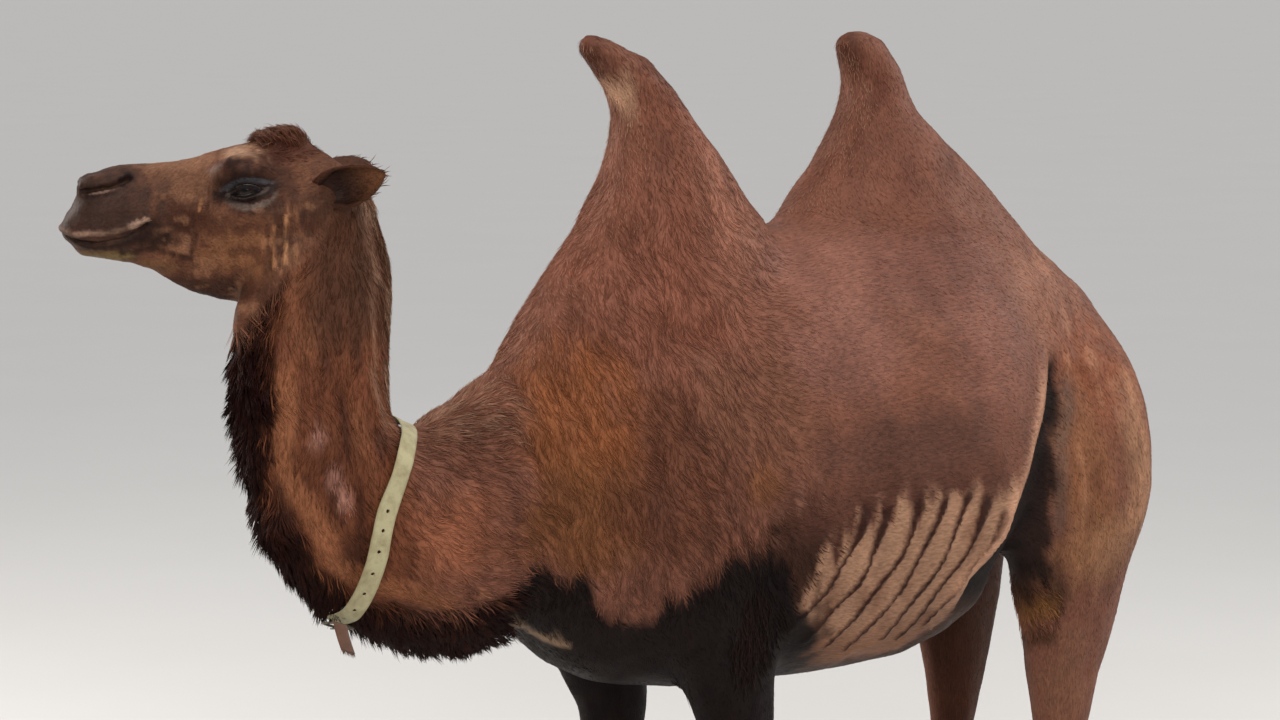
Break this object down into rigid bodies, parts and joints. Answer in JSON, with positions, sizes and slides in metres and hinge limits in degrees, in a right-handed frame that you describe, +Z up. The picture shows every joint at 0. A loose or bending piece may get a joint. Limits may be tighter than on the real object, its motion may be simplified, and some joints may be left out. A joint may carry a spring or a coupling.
{
  "type": "bactrian camel",
  "caption": "Life-size standing Bactrian camel in a short brown coat, with upright humps, its head turned to one side and a webbing collar with a buckle.",
  "frame": {"origin": "middle of the bounding box's base, on the floor between the legs", "axes": "+X to the camel's rear, so that it looks along -X; +Y to its right; +Z up"},
  "size_m": [2.569, 0.7566, 2.1074],
  "materials": {
    "hide": "short matte reddish brown hair over skin",
    "dark_hide": "matte near-black brown hair over skin",
    "eye": "wet and glossy, very dark brown",
    "horn": "dull dark horn",
    "webbing": "pale yellow-green flat weave",
    "steel": "dull tarnished steel"
  },
  "bodies": {
    "root": {"collar_buckle": "steel", "collar_buckle_tongue": "steel", "collar_strap": "webbing", "collar_strap_end": "webbing", "ear_left": "hide", "ear_right": "hide", "eye_left": "eye", "eye_right": "eye", "foreleg_cannon_left": "dark_hide", "foreleg_cannon_right": "dark_hide", "foreleg_foot_left": "dark_hide", "foreleg_foot_right": "dark_hide", "foreleg_forearm_left": "dark_hide", "foreleg_forearm_right": "dark_hide", "head": "hide", "hindleg_cannon_left": "hide", "hindleg_cannon_right": "hide", "hindleg_foot_left": "hide", "hindleg_foot_right": "hide", "hindleg_shank_left": "hide", "hindleg_shank_right": "hide", "hindleg_thigh_left": "hide", "hindleg_thigh_right": "hide", "hump_front": "hide", "hump_rear": "hide", "neck_lower": "hide", "neck_upper": "dark_hide", "tail": "hide", "toenail_foreleg_left_inner": "horn", "toenail_foreleg_left_outer": "horn", "toenail_foreleg_right_inner": "horn", "toenail_foreleg_right_outer": "horn", "toenail_hindleg_left_inner": "horn", "toenail_hindleg_left_outer": "horn", "toenail_hindleg_right_inner": "horn", "toenail_hindleg_right_outer": "horn", "trunk": "hide"}
  },
  "joints": []
}
